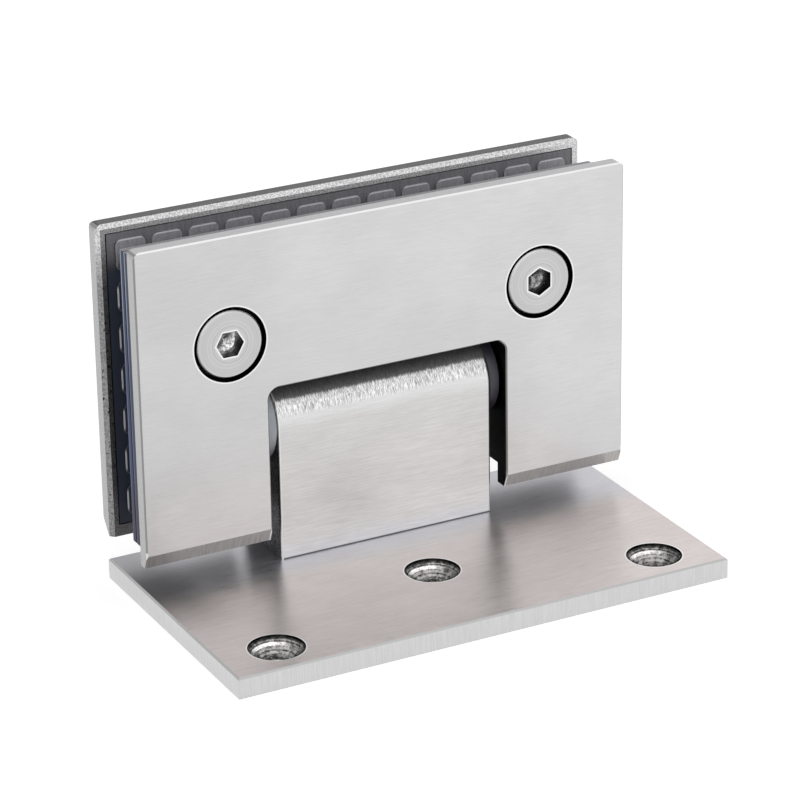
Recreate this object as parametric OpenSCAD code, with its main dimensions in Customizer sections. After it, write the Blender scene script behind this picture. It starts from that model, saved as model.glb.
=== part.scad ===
// Shower door hinge: a wall plate with a pivot block, and a glass clamp that turns on a pin.
// X runs along the pin, Y from the front of the hinge to its back, Z away from the wall.
// The origin lies on the wall face, straight below the pin and halfway along it.

/* [Wall plate] */
// Length of the wall plate along the pin
plate_length = 90; // [70:1:130]
// Depth of the wall plate from its front edge to its back edge
plate_w = 51; // [40:1:80]
// Thickness of the wall plate
plate_t = 3.6; // [3.4:0.1:6]
// Small break along the upper edges of the wall plate
plate_edge = 0.3; // [0.1:0.1:0.8]
// Distance of the two outer fixing holes from the ends of the plate
wall_hole_end = 10; // [8:0.1:14]
// Distance of the two outer fixing holes from the front edge
wall_hole_front = 7.1; // [6.5:0.1:10]
// How much farther back the middle fixing hole lies
wall_hole_stagger = 13; // [0:0.5:15]
// Diameter of the fixing holes
wall_hole_d = 5.2; // [4:0.1:6]
// Diameter of the countersinks of the fixing holes
wall_sink_d = 9.4; // [8:0.1:11]
// Depth of the straight wall above each countersink
wall_sink_wall = 0.5; // [0.2:0.1:0.8]

/* [Pivot block] */
// Length of the block along the pin
block_length = 40; // [36:1:60]
// Depth of the block, which is also the diameter of its round top
block_w = 15; // [14:0.5:20]
// Height of the pin above the wall plate
pivot_rise = 23.4; // [21.5:0.1:30]
// Radius of the upright edges of the block
block_edge = 0.6; // [0.2:0.1:1.5]
// Diameter of the two screws that hold the block to the wall plate
block_screw_d = 5; // [4:0.5:6]
// Length of those screws with their heads
block_screw_l = 13.5; // [10:0.5:16]
// Distance of those screws from the ends of the block
block_screw_end = 4.5; // [4.2:0.1:5.2]

/* [Pin and bearings] */
// Diameter of the pivot pin
pin_d = 8; // [6:0.5:9]
// Running clearance between pin and bushes, on the radius
pin_clear = 0.05; // [0.02:0.01:0.1]
// Wall of the bearing bushes
bush_wall = 0.93; // [0.8:0.01:1.5]
// Length of each bearing bush
bush_l = 7; // [5:0.5:8]
// Outer diameter of the thrust washers
washer_d = 14.6; // [12:0.1:15]
// Thickness of the thrust washers
washer_t = 1.9; // [1:0.1:3]
// Depth of the flats on the pin that the plungers drop onto
detent_depth = 0.4; // [0.2:0.1:0.8]

/* [Detent] */
// Diameter of the detent plungers
plunger_d = 6.84; // [5:0.02:7]
// Length of the detent plungers
plunger_l = 6; // [4:0.5:8]
// Distance of each plunger from the block screw beside it
plunger_step = 7.5; // [7:0.5:9]
// Running clearance between plunger and pocket, on the radius
plunger_clear = 0.08; // [0.05:0.01:0.1]
// Wire diameter of the detent springs
spring_wire = 1; // [0.6:0.1:1.2]
// Outer diameter of the detent springs
spring_d = 6.2; // [4.6:0.1:6.4]
// Turns of each detent spring
spring_turns = 6.5; // [4:0.5:8]

/* [Glass clamp] */
// Length of the clamp plates
clamp_length = 90; // [86:1:130]
// Height of the clamp plates
clamp_h = 55; // [52:0.5:80]
// Distance from the pin down to the lower edge of the clamp
clamp_drop = 19; // [17:0.1:20.5]
// Distance between the outer faces of the two clamp plates
clamp_depth = 18; // [17:0.1:24]
// Thickness of each clamp plate
clamp_t = 3.2; // [3:0.1:4.5]
// Radius of the two upper corners
clamp_corner_r = 1.2; // [0.6:0.1:4]
// Small break along the outer edges of the clamp plates
clamp_edge = 0.25; // [0.1:0.05:0.6]
// Depth of the lower bevel on the front plate
front_bevel_d = 1; // [0.4:0.1:2]
// Height of the lower bevel on the front plate
front_bevel_h = 2.4; // [1:0.1:4]
// Depth of the lower bevel on the back plate
back_bevel_d = 2.3; // [0.4:0.1:2.5]
// Height of the lower bevel on the back plate
back_bevel_h = 3; // [1:0.1:4]
// Break along the inner edges of the rim round the recess
rim_edge = 0.7; // [0.1:0.1:1]
// Width of the rim round the recess for the gasket
rim_w = 1.5; // [1:0.1:2.5]

/* [Notch and pin bosses] */
// Gap between the end of the block and the side of the notch
notch_side_gap = 2.2; // [2.2:0.1:4]
// Gap between the round top of the block and the top of the notch
notch_top_gap = 0.9; // [0.6:0.1:3]
// Radius of the upper corners of the notch
notch_r = 2; // [1:0.1:3]
// Length of each pin boss along the pin
boss_l = 10; // [8:0.5:10]
// Distance from the pin up to the top of the boss
boss_up = 9.6; // [8:0.1:9.8]
// Distance from the pin down to the foot of the boss
boss_down = 15.35; // [10:0.05:16]
// Gap between the pin bosses and the back plate
boss_gap = 0.6; // [0.1:0.1:0.6]
// Diameter of the set screws that hold the pin
pin_screw_d = 4; // [3:0.5:4]
// Depth of the seats of those set screws on the pin
pin_seat = 0.3; // [0.2:0.1:0.6]

/* [Clamp screws] */
// Distance of the clamp screws from the ends of the clamp
screw_end = 16.3; // [15:0.1:16.8]
// Height of the clamp screws above the pin
screw_rise = 17.5; // [17.5:0.1:20]
// Thread diameter of the clamp screws
screw_d = 6; // [5:0.5:6]
// Diameter of the flat screw heads
head_d = 11.6; // [10:0.1:12]
// Thickness of the screw heads
head_t = 2.8; // [2.4:0.1:3]
// Diameter of the counterbores for the heads
counterbore_d = 12.8; // [12.4:0.1:13.4]
// How far the heads lie below the face of the clamp
head_sink = 0.1; // [0:0.05:0.3]
// Size of the hexagon sockets across their flats
socket_flats = 4.3; // [4:0.1:5]
// Depth of the hexagon sockets
socket_depth = 1.9; // [1.5:0.1:2.1]
// Diameter of the screw bosses inside the front plate
screw_boss_d = 13.8; // [13.6:0.1:14.4]
// Height of the screw bosses inside the front plate
screw_boss_h = 3.2; // [2.5:0.1:3.4]
// Diameter of the threaded posts inside the back plate
post_d = 12; // [10:0.1:12.4]
// Height of the threaded posts inside the back plate
post_h = 4.8; // [4:0.1:5.4]
// Outer diameter of the plastic sleeves round the clamp screws
sleeve_d = 9; // [8.4:0.1:12]

/* [Gaskets] */
// Thickness of each gasket without its pads, which is also the depth of its recess
gasket_t = 1.2; // [0.8:0.1:1.4]
// Height of the raised pads on the gaskets
pad_h = 0.3; // [0.1:0.1:0.4]
// Width and height of one raised pad
pad_w = 5.3; // [3:0.1:6]
// Corner radius of the raised pads
pad_r = 1; // [0.4:0.1:1.4]
// Spacing of the pads along the hinge
pad_pitch_x = 6.54; // [6.2:0.02:9]
// Spacing of the pads up the hinge
pad_pitch_z = 7.2; // [6.2:0.1:9]
// Distance from the top of the clamp to the first row of pads
pad_top = 2.8; // [2.6:0.1:6]
// Distance from the lower edge of the clamp to the foot of the gaskets
gasket_foot = 2.2; // [2:0.1:9]
// Gap between the edge of a gasket and what is round it
gasket_gap = 0.2; // [0.05:0.05:0.3]
// How far the loose spare gaskets lie to the left
spare_shift = 0.7; // [0:0.1:0.7]

/* [Hidden] */
$fn = 64;

// Clearance on the radius of parts that are pressed or screwed together
seat_clear = 0.02;
// Clearance on the radius of a washer or a sleeve round what it carries
loose_clear = 0.15;
// How far a cut runs past the face that it opens
past = 1;

// Places on the hinge
block_side = block_w / 2;
plate_back = block_side;
plate_front = plate_back - plate_w;
pivot_z = plate_t + pivot_rise;
clamp_bottom = pivot_z - clamp_drop;
clamp_top = clamp_bottom + clamp_h;
clamp_half = clamp_length / 2;
outer_y = clamp_depth / 2;
inner_y = outer_y - clamp_t;
notch_half = block_length / 2 + notch_side_gap;
notch_top = pivot_z + block_side + notch_top_gap;
boss_end = notch_half + boss_l;
boss_mid = notch_half + boss_l / 2;
screw_x = clamp_half - screw_end;
screw_z = pivot_z + screw_rise;

// Places on the block
block_half = block_length / 2;
block_screw_x = block_half - block_screw_end;
plunger_x = block_screw_x - plunger_step;

// Fits round the pin
pin_r = pin_d / 2;
bush_inner_r = pin_r + pin_clear;
bush_seat_r = bush_inner_r + bush_wall + seat_clear;
bore_relief = 0.3;
block_bore_r = pin_r + bore_relief;
pin_sink = 0.2;
pin_end = boss_end - pin_sink;
pin_chamfer = 0.5;
pin_screw_sink = 0.6;

// Detent: the plungers stand just clear of the round of the pin
plunger_gap = 0.05;
pocket_r = plunger_d / 2 + plunger_clear;
plunger_top = pivot_z - pin_r - plunger_gap;
plunger_bottom = plunger_top - plunger_l;
land_spare = 1.2;
detent_land = plunger_d + land_spare;

// Countersinks with a cone of 90 degrees
wall_sink_cone = (wall_sink_d - wall_hole_d) / 2;
block_head_cone = 2.3;
block_head_d = block_screw_d + 2 * block_head_cone;
block_head_sink = 0.1;

// Clamp screws: metal left behind their threads, and how each socket has come to rest
thread_wall = 1.4;
thread_gap = 0.2;
left_turn = 0;
right_turn = 30;

// Gaskets: flush with the rims, so only their pads stand proud
recess_d = gasket_t;
gasket_pitch = gasket_t + pad_h;
gasket_half = clamp_half - rim_w - gasket_gap;
gasket_bottom = clamp_bottom + gasket_foot;
gasket_top = clamp_top - rim_w - gasket_gap;
cutout_half = boss_end + rim_w + gasket_gap;
cutout_rise = 3.2;
cutout_top = notch_top + cutout_rise;
cutout_r = 2;
pad_margin = 0.1;
ear_r = screw_boss_d / 2 + spare_shift + pad_margin;
pad_columns = floor((2 * gasket_half - pad_w) / pad_pitch_x / 2);
pad_rows = floor((clamp_top - pad_top - gasket_bottom - pad_w) / pad_pitch_z);

steel = "#c9c9c9";
dark_steel = "#8f8f92";
rubber = "#5d5c61";
plastic = "#a9adb0";

// A flat outline in X and Z, given a thickness from y0 to y1
module along_y(y0, y1) {
    translate([0, y1, 0]) rotate([90, 0, 0]) linear_extrude(y1 - y0) children();
}

// A flat outline in Y and Z, given a length from x0 to x1
module along_x(x0, x1) {
    translate([x0, 0, 0]) rotate([90, 0, 90]) linear_extrude(x1 - x0) children();
}

// A flat outline in X and Y, given a height from z0 to z1
module along_z(z0, z1) {
    translate([0, 0, z0]) linear_extrude(z1 - z0) children();
}

// A rod along X, Y or Z
module rod_x(x0, x1, y, z, r) {
    translate([x0, y, z]) rotate([0, 90, 0]) cylinder(h = x1 - x0, r = r);
}

module rod_y(x, y0, y1, z, r) {
    translate([x, y0, z]) rotate([-90, 0, 0]) cylinder(h = y1 - y0, r = r);
}

module rod_z(x, y, z0, z1, r) {
    translate([x, y, z0]) cylinder(h = z1 - z0, r = r);
}

// A rectangle with four round corners
module rounded_rect(x0, x1, z0, z1, r) {
    translate([x0 + r, z0]) square([x1 - x0 - 2 * r, z1 - z0]);
    translate([x0, z0 + r]) square([x1 - x0, z1 - z0 - 2 * r]);
    for (x = [x0 + r, x1 - r], z = [z0 + r, z1 - r]) translate([x, z]) circle(r);
}

// A plain rectangle between two corners
module rect(x0, x1, z0, z1) {
    translate([x0, z0]) square([x1 - x0, z1 - z0]);
}

// A hexagon socket with a drill point at its foot, along +Z from z = 0
module hex_socket(flats, depth) {
    corner_r = flats / 2 / cos(30);
    translate([0, 0, -past]) cylinder(h = depth + past, r = corner_r, $fn = 6);
    translate([0, 0, depth]) cylinder(h = flats * 0.22, r1 = flats * 0.4, r2 = 0.1);
}

// Wall plate

module wall_hole(x, y) {
    translate([x, y, 0]) {
        translate([0, 0, -past]) cylinder(h = plate_t + 2 * past, d = wall_hole_d);
        translate([0, 0, plate_t - wall_sink_wall])
            cylinder(h = wall_sink_wall + past, d = wall_sink_d);
        translate([0, 0, plate_t - wall_sink_wall - wall_sink_cone])
            cylinder(h = wall_sink_cone, d1 = wall_hole_d, d2 = wall_sink_d);
    }
}

module block_screw_hole(x) {
    translate([x, 0, 0]) {
        translate([0, 0, -past]) cylinder(h = plate_t + 2 * past, r = block_screw_d / 2 + loose_clear);
        translate([0, 0, -past])
            cylinder(h = block_head_sink + past, r = block_head_d / 2 + loose_clear);
        translate([0, 0, block_head_sink])
            cylinder(h = block_head_cone, r1 = block_head_d / 2 + loose_clear,
                     r2 = block_screw_d / 2 + loose_clear);
    }
}

module wall_plate() {
    half = plate_length / 2;
    hole_x = half - wall_hole_end;
    hole_y = plate_front + wall_hole_front;
    color(steel) difference() {
        intersection() {
            along_x(-half, half) polygon([
                [plate_front, 0], [plate_back, 0], [plate_back, plate_t - plate_edge],
                [plate_back - plate_edge, plate_t], [plate_front + plate_edge, plate_t],
                [plate_front, plate_t - plate_edge]
            ]);
            along_y(plate_front, plate_back) polygon([
                [-half, 0], [half, 0], [half, plate_t - plate_edge],
                [half - plate_edge, plate_t], [plate_edge - half, plate_t],
                [-half, plate_t - plate_edge]
            ]);
        }
        wall_hole(-hole_x, hole_y);
        wall_hole(hole_x, hole_y);
        wall_hole(0, hole_y + wall_hole_stagger);
        block_screw_hole(-block_screw_x);
        block_screw_hole(block_screw_x);
    }
}

// Pivot block with its round top, pin bore, bush seats and spring pockets

// Profile of the round top, from the middle of the block to its rounded rim
module block_top_profile() {
    r = block_side - block_edge;
    rect(0, r, -block_half, block_half);
    rect(0, block_side, block_edge - block_half, block_half - block_edge);
    for (s = [-1, 1]) translate([r, s * (block_half - block_edge)]) circle(block_edge);
}

module pivot_block() {
    thread_top = block_head_sink + block_screw_l + past;
    color(steel) difference() {
        union() {
            along_z(plate_t, pivot_z)
                rounded_rect(-block_half, block_half, -block_side, block_side, block_edge);
            translate([0, 0, pivot_z]) rotate([0, 90, 0]) rotate_extrude() block_top_profile();
        }
        rod_x(-block_half - past, block_half + past, 0, pivot_z, block_bore_r);
        for (s = [-1, 1]) {
            rod_x(s > 0 ? block_half - bush_l : -block_half - past,
                  s > 0 ? block_half + past : bush_l - block_half, 0, pivot_z, bush_seat_r);
            rod_z(s * plunger_x, 0, plate_t - past, pivot_z, pocket_r);
            rod_z(s * block_screw_x, 0, plate_t - past, thread_top, block_screw_d / 2 + seat_clear);
        }
    }
}

module block_screw(x) {
    translate([x, 0, block_head_sink]) difference() {
        union() {
            cylinder(h = block_head_cone, r1 = block_head_d / 2, r2 = block_screw_d / 2);
            cylinder(h = block_screw_l, d = block_screw_d);
        }
        hex_socket(block_screw_d * 0.6, block_screw_d * 0.4);
    }
}

module block_screws() {
    color(dark_steel) for (s = [-1, 1]) block_screw(s * block_screw_x);
}

// Bearings: side is -1 on the left and 1 on the right

module bush(side) {
    x0 = side > 0 ? block_half - bush_l : -block_half;
    color("#e6e2d6") difference() {
        rod_x(x0, x0 + bush_l, 0, pivot_z, bush_seat_r - seat_clear);
        rod_x(x0 - past, x0 + bush_l + past, 0, pivot_z, bush_inner_r);
    }
}

module washer(side) {
    edge = 0.2;
    r0 = pin_r + loose_clear;
    r1 = washer_d / 2;
    color(plastic)
        translate([side * block_half, 0, pivot_z]) rotate([0, side * 90, 0]) rotate_extrude()
            polygon([
                [r0, 0], [r1 - edge, 0], [r1, edge],
                [r1, washer_t - edge], [r1 - edge, washer_t], [r0, washer_t]
            ]);
}

module bush_left() { bush(-1); }
module bush_right() { bush(1); }
module washer_left() { washer(-1); }
module washer_right() { washer(1); }

// Detent plungers and their springs

module detent_plunger(side) {
    edge = 0.4;
    r = plunger_d / 2;
    color(dark_steel) translate([side * plunger_x, 0, plunger_bottom]) rotate_extrude()
        polygon([
            [0, 0], [r - edge, 0], [r, edge],
            [r, plunger_l - edge], [r - edge, plunger_l], [0, plunger_l]
        ]);
}

// Springs: the first and the last turn lie close to the next one, so the ends stand square
spring_sides = 8;
spring_steps = 14;
closed_pitch = spring_wire + 0.08;

// Height of the wire after a number of turns, out of all its turns and the whole rise
function coil_height(turn, turns, rise) =
    let (open_pitch = (rise - 2 * closed_pitch) / (turns - 2))
        turn < 1 ? closed_pitch * turn
        : turn > turns - 1 ? rise - closed_pitch * (turns - turn)
        : closed_pitch + open_pitch * (turn - 1);

// Points of one ring round the spring wire, lying at angle a and height z
function coil_ring(a, z, mean_r, wire_r) = [
    for (i = [0 : spring_sides - 1])
        let (b = 360 * i / spring_sides, r = mean_r + wire_r * cos(b))
            [r * cos(a), r * sin(a), z + wire_r * sin(b)]
];

module coil_spring(h, turns, outer_d, wire) {
    n = round(turns * spring_steps);
    wire_r = wire / 2;
    mean_r = outer_d / 2 - wire_r;
    rings = [
        for (k = [0 : n])
            let (turn = k / spring_steps)
                coil_ring(360 * turn, wire_r + coil_height(turn, turns, h - wire), mean_r, wire_r)
    ];
    points = [for (ring = rings) for (p = ring) p];
    sides = [
        for (k = [0 : n - 1]) for (i = [0 : spring_sides - 1])
            let (j = (i + 1) % spring_sides, a = k * spring_sides, b = a + spring_sides)
                [a + i, b + i, b + j, a + j]
    ];
    first_end = [for (i = [0 : spring_sides - 1]) i];
    last_end = [for (i = [0 : spring_sides - 1]) (n + 1) * spring_sides - 1 - i];
    polyhedron(points = points, faces = concat(sides, [first_end], [last_end]), convexity = 10);
}

module detent_spring(side) {
    end_gap = 0.03;
    h = plunger_bottom - plate_t - 2 * end_gap;
    color(dark_steel) translate([side * plunger_x, 0, plate_t + end_gap])
        coil_spring(h, spring_turns, spring_d, spring_wire);
}

module detent_plunger_left() { detent_plunger(-1); }
module detent_plunger_right() { detent_plunger(1); }
module detent_spring_left() { detent_spring(-1); }
module detent_spring_right() { detent_spring(1); }

// Pivot pin with two square lands for the detent and a seat for each set screw

module pivot_pin() {
    reach = pin_r - detent_depth;
    color(dark_steel) difference() {
        translate([-pin_end, 0, pivot_z]) rotate([0, 90, 0]) rotate_extrude() polygon([
            [0, 0], [pin_r - pin_chamfer, 0], [pin_r, pin_chamfer],
            [pin_r, 2 * pin_end - pin_chamfer], [pin_r - pin_chamfer, 2 * pin_end], [0, 2 * pin_end]
        ]);
        for (s = [-1, 1], turn = [0 : 90 : 270])
            translate([s * plunger_x, 0, pivot_z]) rotate([turn, 0, 0])
                translate([-detent_land / 2, -pin_d, reach]) cube([detent_land, 2 * pin_d, pin_d]);
        for (s = [-1, 1])
            translate([s * boss_mid - pin_screw_d / 2 - 0.5, -pin_d, pivot_z + pin_r - pin_seat])
                cube([pin_screw_d + 1, 2 * pin_d, pin_d]);
    }
}

module pin_screw(side) {
    top = pivot_z + boss_up - pin_screw_sink;
    bottom = pivot_z + pin_r - pin_seat;
    edge = 0.3;
    r = pin_screw_d / 2;
    color(dark_steel) translate([side * boss_mid, 0, 0]) difference() {
        translate([0, 0, bottom]) rotate_extrude() polygon([
            [0, 0], [r - edge, 0], [r, edge], [r, top - bottom], [0, top - bottom]
        ]);
        translate([0, 0, top]) mirror([0, 0, 1]) hex_socket(pin_screw_d * 0.5, pin_screw_d * 0.5);
    }
}

module pin_screw_left() { pin_screw(-1); }
module pin_screw_right() { pin_screw(1); }

// Clamp plates: side is -1 for the front plate and 1 for the back plate

module notch_outline() {
    rounded_rect(-notch_half, notch_half, clamp_bottom - clamp_h, notch_top, notch_r);
}

// Small break along the edge of the notch, on the outer face of a plate
module notch_break(side) {
    y_out = side * outer_y;
    y_deep = y_out - side * clamp_edge;
    y_past = y_out + side * past;
    corner_x = notch_half - notch_r;
    corner_z = notch_top - notch_r;
    along_x(-corner_x, corner_x) polygon([
        [y_deep, notch_top - past], [y_deep, notch_top], [y_out, notch_top + clamp_edge],
        [y_past, notch_top + clamp_edge], [y_past, notch_top - past]
    ]);
    for (s = [-1, 1]) {
        along_z(clamp_bottom - past, corner_z) polygon([
            [s * (notch_half - past), y_deep], [s * notch_half, y_deep],
            [s * (notch_half + clamp_edge), y_out], [s * (notch_half + clamp_edge), y_past],
            [s * (notch_half - past), y_past]
        ]);
        translate([s * corner_x, y_deep, corner_z]) rotate([-side * 90, 0, 0])
            cylinder(h = clamp_edge, r1 = notch_r, r2 = notch_r + clamp_edge);
    }
}

// Flat plate with round upper corners, broken edges and a bevel along its lower edge
module clamp_blank(side, bevel_d, bevel_h) {
    y_out = side * outer_y;
    y_in = side * inner_y;
    y_edge = y_out - side * clamp_edge;
    y_rim = y_in + side * rim_edge;
    half = clamp_half;
    difference() {
        intersection() {
            along_y(min(y_in, y_out), max(y_in, y_out)) difference() {
                rounded_rect(-half, half, clamp_bottom - clamp_h, clamp_top, clamp_corner_r);
                notch_outline();
            }
            along_x(-half, half) polygon([
                [y_in, clamp_bottom], [y_out - side * bevel_d, clamp_bottom],
                [y_out, clamp_bottom + bevel_h], [y_out, clamp_top - clamp_edge],
                [y_edge, clamp_top], [y_rim, clamp_top], [y_in, clamp_top - rim_edge]
            ]);
            along_z(clamp_bottom - past, clamp_top + past) polygon([
                [rim_edge - half, y_in], [-half, y_rim], [-half, y_edge], [clamp_edge - half, y_out],
                [half - clamp_edge, y_out], [half, y_edge], [half, y_rim], [half - rim_edge, y_in]
            ]);
        }
        notch_break(side);
    }
}

// Outline shared by the gaskets and, a little larger, by their recesses
module gasket_outline(grow) {
    difference() {
        rect(-gasket_half - grow, gasket_half + grow, gasket_bottom - grow, gasket_top + grow);
        rounded_rect(grow - cutout_half, cutout_half - grow, gasket_bottom - clamp_h,
                     cutout_top - grow, cutout_r);
        for (s = [-1, 1]) translate([s * screw_x, screw_z]) circle(ear_r - grow);
    }
}

module front_clamp() {
    boss_y = inner_y - boss_gap;
    screw_seat = head_sink + head_t - outer_y;
    color(steel) difference() {
        union() {
            difference() {
                clamp_blank(-1, front_bevel_d, front_bevel_h);
                along_y(-inner_y - recess_d, past - inner_y) gasket_outline(gasket_gap);
            }
            for (s = [-1, 1]) {
                along_y(-inner_y - recess_d / 2, boss_y) rect(
                    s > 0 ? notch_half : -boss_end, s > 0 ? boss_end : -notch_half,
                    pivot_z - boss_down, pivot_z + boss_up);
                rod_y(s * screw_x, -inner_y - recess_d / 2, screw_boss_h - inner_y,
                      screw_z, screw_boss_d / 2);
            }
        }
        for (s = [-1, 1]) {
            rod_x(s > 0 ? notch_half - past : -boss_end - past,
                  s > 0 ? boss_end + past : past - notch_half, 0, pivot_z, pin_r + seat_clear);
            rod_z(s * boss_mid, 0, pivot_z, pivot_z + boss_up + past, pin_screw_d / 2 + seat_clear);
            rod_y(s * screw_x, -outer_y - past, screw_seat, screw_z, counterbore_d / 2);
            rod_y(s * screw_x, -outer_y - past, inner_y, screw_z, screw_d / 2 + loose_clear);
        }
    }
}

module back_clamp() {
    thread_end = outer_y - thread_wall;
    color(steel) difference() {
        union() {
            difference() {
                clamp_blank(1, back_bevel_d, back_bevel_h);
                along_y(inner_y - past, inner_y + recess_d) gasket_outline(gasket_gap);
            }
            for (s = [-1, 1])
                rod_y(s * screw_x, inner_y - post_h, inner_y + recess_d / 2, screw_z, post_d / 2);
        }
        for (s = [-1, 1])
            rod_y(s * screw_x, -past, thread_end, screw_z, screw_d / 2 + seat_clear);
    }
}

// Gaskets with raised pads towards the glass

// A pad has its place only where the whole of it lies on the gasket
function pad_fits(x, z) =
    let (
        reach = pad_w / 2,
        dx = max(abs(abs(x) - screw_x) - reach, 0),
        dz = max(abs(z - screw_z) - reach, 0)
    )
    norm([dx, dz]) > ear_r + pad_margin
        && (abs(x) - reach > cutout_half + pad_margin || z - reach > cutout_top + pad_margin);

module gasket_pads() {
    z_first = clamp_top - pad_top - pad_w / 2;
    for (i = [-pad_columns : pad_columns], j = [0 : pad_rows]) {
        x = i * pad_pitch_x;
        z = z_first - j * pad_pitch_z;
        if (pad_fits(x, z))
            rounded_rect(x - pad_w / 2, x + pad_w / 2, z - pad_w / 2, z + pad_w / 2, pad_r);
    }
}

// The gasket's back lies at y, and its pads face the side named by facing
module gasket(y, facing) {
    front = y + facing * gasket_t;
    overlap = 0.1;
    color(rubber) union() {
        along_y(min(y, front), max(y, front)) gasket_outline(0);
        along_y(min(front - facing * overlap, front + facing * pad_h),
                max(front - facing * overlap, front + facing * pad_h)) gasket_pads();
    }
}

// A loose gasket, lying on the pads of the ones before it
module loose_gasket(place) {
    translate([-spare_shift, 0, 0]) gasket(place * gasket_pitch - inner_y - recess_d, 1);
}

module front_gasket() { gasket(-inner_y - recess_d, 1); }
module spare_gasket() { loose_gasket(1); }
module spare_gasket_2() { loose_gasket(2); }
module spare_gasket_3() { loose_gasket(3); }
module back_gasket() { gasket(inner_y + recess_d, -1); }

// Clamp screws and their sleeves: turn sets how the hexagon socket has come to rest

module clamp_screw(side, turn) {
    edge = 0.25;
    r = head_d / 2;
    shank_l = 2 * outer_y - thread_wall - thread_gap - head_sink;
    color(steel) translate([side * screw_x, head_sink - outer_y, screw_z]) rotate([-90, turn, 0])
        difference() {
            rotate_extrude() polygon([
                [0, 0], [r - edge, 0], [r, edge], [r, head_t],
                [screw_d / 2, head_t], [screw_d / 2, shank_l], [0, shank_l]
            ]);
            hex_socket(socket_flats, socket_depth);
        }
}

module screw_sleeve(side) {
    y0 = screw_boss_h - inner_y;
    y1 = inner_y - post_h;
    color("#e6e2d6") difference() {
        rod_y(side * screw_x, y0, y1, screw_z, sleeve_d / 2);
        rod_y(side * screw_x, y0 - past, y1 + past, screw_z, screw_d / 2 + loose_clear);
    }
}

module clamp_screw_left() { clamp_screw(-1, left_turn); }
module clamp_screw_right() { clamp_screw(1, right_turn); }
module screw_sleeve_left() { screw_sleeve(-1); }
module screw_sleeve_right() { screw_sleeve(1); }

wall_plate();
pivot_block();
block_screws();
bush_left();
bush_right();
washer_left();
washer_right();
detent_plunger_left();
detent_plunger_right();
detent_spring_left();
detent_spring_right();
pivot_pin();
pin_screw_left();
pin_screw_right();
front_clamp();
back_clamp();
front_gasket();
spare_gasket();
spare_gasket_2();
spare_gasket_3();
back_gasket();
clamp_screw_left();
clamp_screw_right();
screw_sleeve_left();
screw_sleeve_right();
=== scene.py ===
"""Looks of the shower door hinge: brushed steel, turned screw heads, rubber gaskets, floor, light and camera."""

import math

import bpy
from mathutils import Matrix, Vector


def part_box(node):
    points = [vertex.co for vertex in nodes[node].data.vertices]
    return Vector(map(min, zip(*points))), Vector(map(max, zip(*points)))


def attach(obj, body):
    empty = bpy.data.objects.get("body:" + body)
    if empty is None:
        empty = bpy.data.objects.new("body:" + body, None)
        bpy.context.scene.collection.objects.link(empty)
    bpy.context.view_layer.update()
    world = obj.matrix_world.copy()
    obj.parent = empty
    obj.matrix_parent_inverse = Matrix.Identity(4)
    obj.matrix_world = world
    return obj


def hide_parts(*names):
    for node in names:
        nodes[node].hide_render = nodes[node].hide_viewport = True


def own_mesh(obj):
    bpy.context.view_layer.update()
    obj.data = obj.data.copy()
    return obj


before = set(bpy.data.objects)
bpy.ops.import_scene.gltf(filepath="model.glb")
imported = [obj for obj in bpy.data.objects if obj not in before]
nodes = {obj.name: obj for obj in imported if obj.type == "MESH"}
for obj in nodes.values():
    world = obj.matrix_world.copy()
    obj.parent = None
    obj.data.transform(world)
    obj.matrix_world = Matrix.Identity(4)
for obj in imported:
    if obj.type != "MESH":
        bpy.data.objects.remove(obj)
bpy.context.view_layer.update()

MM = 0.001

# Places read from the frame, in metres
block_low, block_high = (Vector(corner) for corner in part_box("pivot_block"))
plate_low, plate_high = (Vector(corner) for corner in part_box("wall_plate"))
clamp_low, clamp_high = (Vector(corner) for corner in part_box("front_clamp"))
pin_low, pin_high = (Vector(corner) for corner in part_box("pivot_pin"))
pin_middle = (pin_low + pin_high) / 2
screw_low, screw_high = (Vector(corner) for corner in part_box("clamp_screw_right"))
screw_middle = (screw_low + screw_high) / 2
stack_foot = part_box("front_gasket")[0][1]

# Sizes that the looks share with the solids
COUNTERBORE_R = 6.4 * MM
COUNTERBORE_DEPTH = 3.2 * MM
SOCKET_FLATS = 4.3 * MM
NOTCH_HALF = block_high.x + 2.2 * MM
NOTCH_TOP = block_high.z + 0.9 * MM
NOTCH_CORNER = 2.0 * MM
BEVEL_TOP = clamp_low.z + 3.05 * MM
SINK_R = 4.7 * MM
SINK_SHINE_IN, SINK_SHINE_OUT = 3.7 * MM, 4.1 * MM
HOLE_X = 35 * MM
HOLE_Y = plate_low.y + 7.1 * MM
HOLE_STAGGER = 13 * MM
PAD_STEP_X = 6.54 * MM
PAD_STEP_Z = 7.2 * MM
PAD_SIZE = 5.3 * MM
PAD_CORNER = 1.0 * MM
PAD_FIRST = 2.8 * MM
LAYER_STEP = 1.5 * MM
SLOT_MIDDLE = 2.2 * MM

# Heights on the block's round top: where scratches begin and fill it, and where the painted reflection of the dark
# notch does
SCRATCHED_FROM, SCRATCHED_FULL = pin_middle.z + 1.5 * MM, pin_middle.z + 2.9 * MM
NOTCH_REFLECTION_FROM, NOTCH_REFLECTION_FULL = pin_middle.z + 4.35 * MM, pin_middle.z + 4.75 * MM

# Brightness of the metal, as a linear grey, with painted highlights on edges and rims and painted shade on walls
CLAMP_LEVEL = 0.60
CLAMP_EDGE_HIGHLIGHT = 0.68
UPRIGHT_EDGE_SHADE = 0.25
BLOCK_LEVEL = 0.69
BLOCK_LEFT_EDGE_HIGHLIGHT, BLOCK_RIGHT_EDGE_SHADE = 0.82, 0.3
PLATE_LEVEL = 0.60
PLATE_EDGE_LEVEL = 0.40
EDGE_LINE_HIGHLIGHT = 0.82
SINK_RIM_HIGHLIGHT = 0.9
SOCKET_RIM_HIGHLIGHT, SOCKET_WALL_SHADE = 0.85, 0.015
NOTCH_WALL_SHADE, NOTCH_TOP_SHADE = 0.01, 0.2
CHIP_LEVEL = 0.02
SEAM_LEVEL = 0.12
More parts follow.
